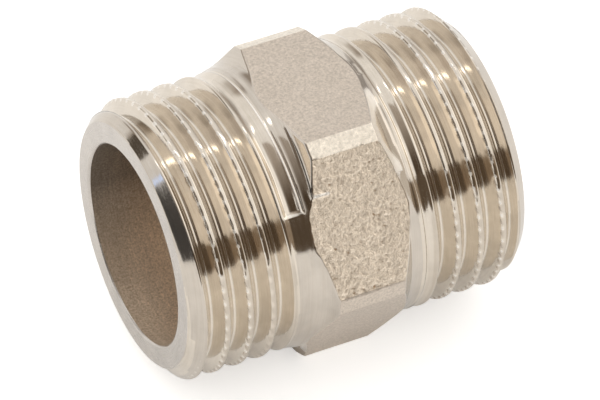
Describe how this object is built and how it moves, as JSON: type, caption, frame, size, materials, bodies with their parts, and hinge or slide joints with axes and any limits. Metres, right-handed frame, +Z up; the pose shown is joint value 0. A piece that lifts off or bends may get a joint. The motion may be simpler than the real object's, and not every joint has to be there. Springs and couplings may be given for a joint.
{
  "type": "hex nipple",
  "caption": "Short hollow pipe connector with a male parallel pipe thread on each end and a hexagon for a spanner in the middle.",
  "frame": {"origin": "centre of the body: on the bore's axis, midway between the two end faces", "axes": "+X along the bore's axis, +Z up and square to one of the hexagon's flats, so the part rests on the flat at -Z; two of the hexagon's corners point along +Y and -Y"},
  "size_m": [0.027, 0.0236, 0.0212],
  "materials": {
    "nickel_plated_brass": "warm satin nickel plating over brass: bright turned threads and collars, grit-blasted hexagon with one coarse as-forged flat"
  },
  "bodies": {
    "root": {"nipple_body": "nickel_plated_brass"}
  },
  "joints": []
}
